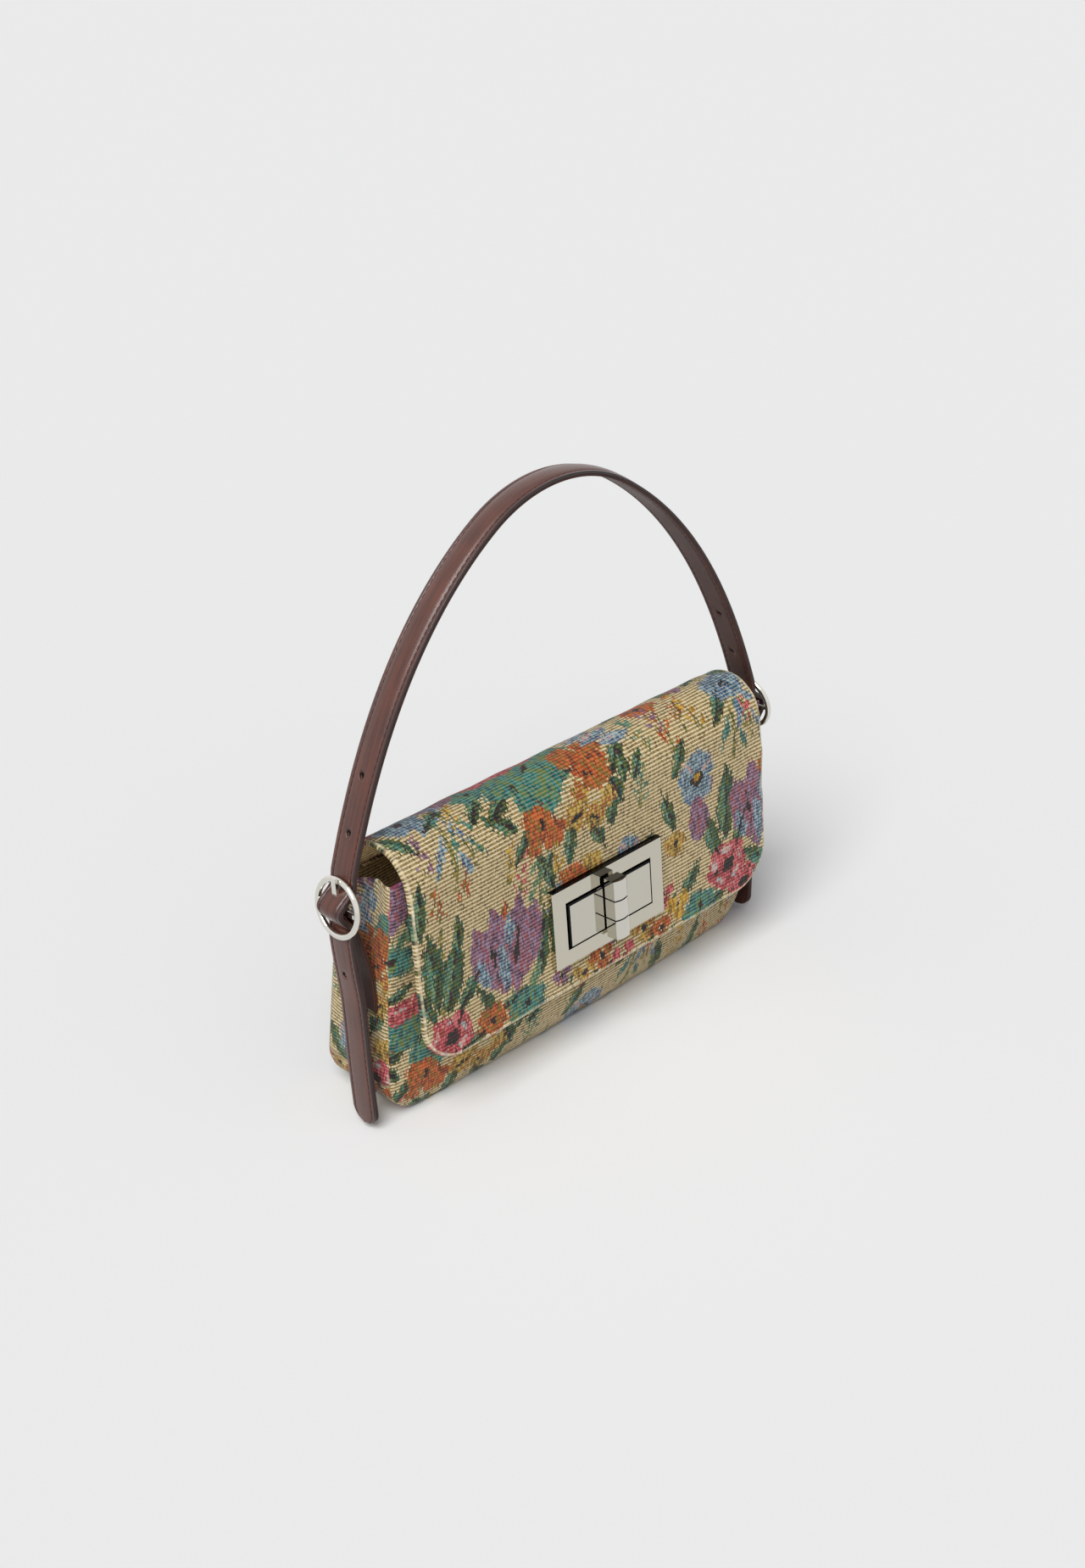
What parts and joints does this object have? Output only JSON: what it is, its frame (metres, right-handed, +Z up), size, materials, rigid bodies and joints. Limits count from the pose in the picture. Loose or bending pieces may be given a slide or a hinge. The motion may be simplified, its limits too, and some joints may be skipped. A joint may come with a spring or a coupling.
{
  "type": "shoulder bag",
  "caption": "Slim fabric flap bag with a turn lock and an adjustable leather shoulder strap on two round buckles.",
  "frame": {"origin": "on the floor under the base, midway between the buckle bars", "axes": "+X along the bag's width, to the right seen from the front; the front with the flap and lock faces -Y; +Z up"},
  "size_m": [0.316, 0.0868, 0.3122],
  "materials": {
    "weave": "floral tapestry, ribbed weave",
    "gusset_weave": "ribbed weave",
    "lining_cloth": "twill lining",
    "leather": "semi-gloss calf leather",
    "leather_back": "matte leather",
    "nickel": "polished nickel",
    "steel": "plain steel",
    "board": "matte board"
  },
  "bodies": {
    "bag": {"front_panel": "weave", "back_panel": "weave", "left_gusset": "gusset_weave", "right_gusset": "gusset_weave", "bottom_panel": "gusset_weave", "front_lining": "lining_cloth", "back_lining": "lining_cloth", "gusset_lining": "lining_cloth", "slip_pocket": "lining_cloth", "base_board": "board", "lock_base": "nickel", "base_backplate": "steel", "base_rivets": "steel", "detent_spring": "steel", "chape_left": "leather_back", "chape_right": "leather_back"},
    "flap": {"flap_panel": "weave", "flap_stiffener": "board", "flap_lining": "lining_cloth", "lock_frame": "nickel", "frame_backplate": "steel", "frame_screws": "steel"},
    "knob": {"turn_knob": "nickel", "knob_clip": "steel"},
    "strap": {"strap_outer": "leather", "strap_padding": "lining_cloth", "strap_lining": "leather_back", "buckle_left": "nickel", "buckle_right": "nickel"},
    "left_tongue": {"tongue_left": "nickel"},
    "right_tongue": {"tongue_right": "nickel"}
  },
  "joints": [
    {"name": "knob_turn", "type": "hinge", "parent": "bag", "child": "knob", "pos_m": [0, -0.0336, 0.08329], "axis": [0, -0.9954, 0.0958], "range_deg": [0, 90]},
    {"name": "flap_open", "type": "hinge", "parent": "bag", "child": "flap", "pos_m": [0, 0.01878, 0.1372], "axis": [-1, 0, 0], "range_deg": [0, 90]},
    {"name": "strap_swing", "type": "hinge", "parent": "bag", "child": "strap", "pos_m": [0, 0, 0.1333], "axis": [-1, 0, 0], "range_deg": [-75, 75], "deforming": ["chape_left", "chape_right"]},
    {"name": "left_tongue_lift", "type": "hinge", "parent": "strap", "child": "left_tongue", "pos_m": [-0.1517, 0, 0.1333], "axis": [0, -0.9988, 0.0489], "range_deg": [0, 12]},
    {"name": "right_tongue_lift", "type": "hinge", "parent": "strap", "child": "right_tongue", "pos_m": [0.1517, 0, 0.1333], "axis": [0, 0.9988, -0.0489], "range_deg": [0, 12]}
  ]
}
